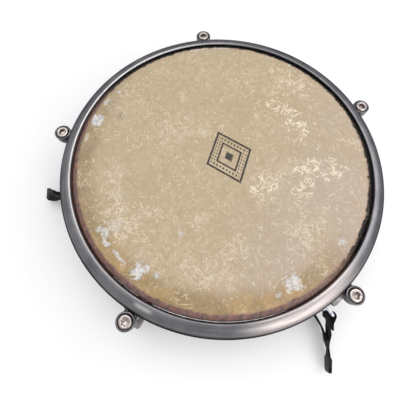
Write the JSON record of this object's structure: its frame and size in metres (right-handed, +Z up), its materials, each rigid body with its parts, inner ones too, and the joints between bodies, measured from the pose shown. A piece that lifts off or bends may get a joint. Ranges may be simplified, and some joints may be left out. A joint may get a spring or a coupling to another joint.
{
  "type": "shallow hand drum",
  "caption": "Shallow round hand drum: a natural hide head on a low ring frame, drawn down by a rolled metal rim with screws through its ears, with a webbing strap.",
  "frame": {"origin": "on the drum's axis, in the plane of the rubber edge that it rests on", "axes": "+Z up along the drum's axis, out of the playing surface; +X to the player's right; lug 1 stands 24 degrees from +X towards +Y"},
  "size_m": [0.376, 0.3853, 0.0742],
  "materials": {
    "hide": "mottled translucent hide, satin",
    "hoop_steel": "steel hoop under lapped hide",
    "gunmetal": "brushed dark nickel",
    "screw_plate": "bright nickel plate",
    "frame_paint": "black powder coat",
    "wood": "oiled hardwood",
    "rubber": "matt black rubber",
    "fixings": "satin steel",
    "bright_wire": "polished",
    "webbing": "black nylon webbing",
    "tip_plastic": "moulded black"
  },
  "bodies": {
    "frame": {"edge_trim": "rubber", "frame_band": "frame_paint", "bearing_ring": "wood", "ring_screws": "fixings", "lug_bracket_1": "gunmetal", "lug_bracket_2": "gunmetal", "lug_bracket_3": "gunmetal", "lug_bracket_4": "gunmetal", "lug_bracket_5": "gunmetal", "lug_rivets_1": "fixings", "lug_rivets_2": "fixings", "lug_rivets_3": "fixings", "lug_rivets_4": "fixings", "lug_rivets_5": "fixings", "lug_nut_1": "screw_plate", "lug_nut_2": "screw_plate", "lug_nut_3": "screw_plate", "lug_nut_4": "screw_plate", "lug_nut_5": "screw_plate", "strap_bail_left": "bright_wire", "strap_bail_right": "bright_wire", "bail_rivets": "fixings", "head_skin": "hide", "strap": "webbing", "strap_tail": "webbing", "strap_slider": "tip_plastic", "strap_tip": "tip_plastic"},
    "rim": {"flesh_hoop": "hoop_steel", "rim": "gunmetal", "rim_ear_1": "gunmetal", "rim_ear_2": "gunmetal", "rim_ear_3": "gunmetal", "rim_ear_4": "gunmetal", "rim_ear_5": "gunmetal", "washer_1": "screw_plate", "washer_2": "screw_plate", "washer_3": "screw_plate", "washer_4": "screw_plate", "washer_5": "screw_plate"},
    "screw_1": {"tension_screw_1": "screw_plate"},
    "screw_2": {"tension_screw_2": "screw_plate"},
    "screw_3": {"tension_screw_3": "screw_plate"},
    "screw_4": {"tension_screw_4": "screw_plate"},
    "screw_5": {"tension_screw_5": "screw_plate"}
  },
  "joints": [
    {"name": "rim_tuning", "type": "slide", "parent": "frame", "child": "rim", "axis": [0, 0, 1], "range_m": [-0.004, 0.006]},
    {"name": "screw_turn_1", "type": "hinge", "parent": "rim", "child": "screw_1", "pos_m": [0.15868, 0.07065, 0.05], "axis": [0, 0, 1], "range_deg": [-1160, 1740]},
    {"name": "screw_turn_2", "type": "hinge", "parent": "rim", "child": "screw_2", "pos_m": [-0.01816, 0.17275, 0.05], "axis": [0, 0, 1], "range_deg": [-1160, 1740]},
    {"name": "screw_turn_3", "type": "hinge", "parent": "rim", "child": "screw_3", "pos_m": [-0.1699, 0.03611, 0.05], "axis": [0, 0, 1], "range_deg": [-1160, 1740]},
    {"name": "screw_turn_4", "type": "hinge", "parent": "rim", "child": "screw_4", "pos_m": [-0.08685, -0.15043, 0.05], "axis": [0, 0, 1], "range_deg": [-1160, 1740]},
    {"name": "screw_turn_5", "type": "hinge", "parent": "rim", "child": "screw_5", "pos_m": [0.11623, -0.12908, 0.05], "axis": [0, 0, 1], "range_deg": [-1160, 1740]}
  ],
  "couplings": [
    {"joint": "screw_turn_1", "follows": "rim_tuning", "rad_per_m": 5026.5},
    {"joint": "screw_turn_2", "follows": "rim_tuning", "rad_per_m": 5026.5},
    {"joint": "screw_turn_3", "follows": "rim_tuning", "rad_per_m": 5026.5},
    {"joint": "screw_turn_4", "follows": "rim_tuning", "rad_per_m": 5026.5},
    {"joint": "screw_turn_5", "follows": "rim_tuning", "rad_per_m": 5026.5}
  ]
}
